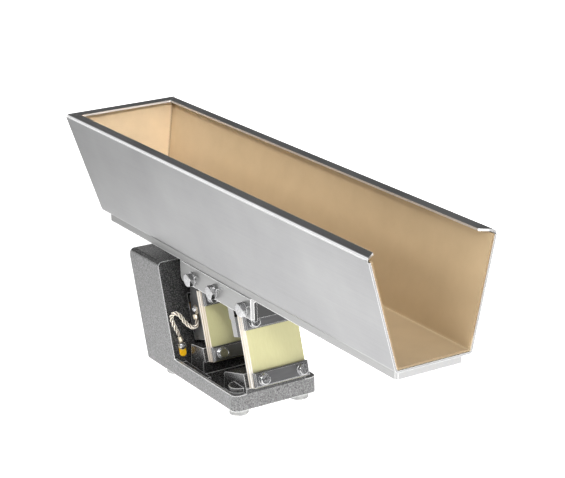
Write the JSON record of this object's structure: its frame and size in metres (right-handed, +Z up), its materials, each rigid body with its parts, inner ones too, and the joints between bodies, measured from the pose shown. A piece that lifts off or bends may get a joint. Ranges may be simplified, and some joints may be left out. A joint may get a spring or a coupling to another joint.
{
  "type": "bulk feeder",
  "caption": "Electromagnetic bulk feeder: lined flared trough on leaning leaf springs, carried by a cast base with a magnet column.",
  "frame": {"origin": "on the floor below the centre of the trough, where the rubber feet stand", "axes": "+X along the trough to its discharge end, +Z up, +Y to the far side"},
  "size_m": [0.588, 0.134, 0.248],
  "materials": {
    "stainless": "satin rolled stainless sheet",
    "liner": "tan wear liner",
    "bracket_steel": "satin",
    "block_steel": "dark machined",
    "clamp_steel": "dark satin",
    "zinc": "bright zinc plating",
    "hammertone": "grey hammertone paint",
    "glass_fibre": "pressed glass fibre board",
    "laminations": "varnished laminations",
    "winding": "taped and varnished",
    "rubber": "pale rubber",
    "braid": "tinned copper braid",
    "tag_yellow": "plain yellow",
    "gland_plastic": "moulded"
  },
  "bodies": {
    "base": {"front_leaf_springs": "glass_fibre", "rear_leaf_springs": "glass_fibre", "front_lower_clamp_bar": "clamp_steel", "rear_lower_clamp_bar": "clamp_steel", "front_lower_shims": "clamp_steel", "rear_lower_shims": "clamp_steel", "lower_clamp_bolts": "zinc", "lower_clamp_washers": "zinc", "base_casting": "hammertone", "rear_cover": "hammertone", "cover_screws": "zinc", "gland_body": "gland_plastic", "gland_cap": "gland_plastic", "gland_locknut": "gland_plastic", "magnet_core": "laminations", "magnet_coil": "winding", "core_brackets": "zinc", "core_screws": "zinc", "rubber_feet": "rubber", "foot_screws": "zinc", "earth_tag": "tag_yellow", "fixed_earth_screw": "zinc", "fixed_earth_lug": "braid", "earth_strap": "braid"},
    "tray": {"trough_shell": "stainless", "trough_end_wall": "stainless", "trough_liner": "liner", "end_liner": "liner", "stiffening_plate": "bracket_steel", "tray_bracket": "bracket_steel", "front_upper_block": "bracket_steel", "rear_upper_block": "block_steel", "front_seat_bar": "block_steel", "side_bolts": "zinc", "side_washers": "zinc", "front_upper_clamp_bar": "clamp_steel", "rear_upper_clamp_bar": "clamp_steel", "front_upper_shims": "clamp_steel", "rear_upper_shims": "clamp_steel", "upper_clamp_bolts": "zinc", "upper_clamp_washers": "zinc", "armature": "laminations", "armature_screws": "zinc", "moving_earth_screw": "zinc", "moving_earth_lug": "braid"}
  },
  "joints": [
    {"name": "feed_stroke", "type": "slide", "parent": "base", "child": "tray", "axis": [0.9613, 0, 0.2756], "range_m": [-0.001, 0.001], "stiffness_N_per_m": 690000, "deforming": ["front_leaf_springs", "rear_leaf_springs", "earth_strap"]}
  ]
}
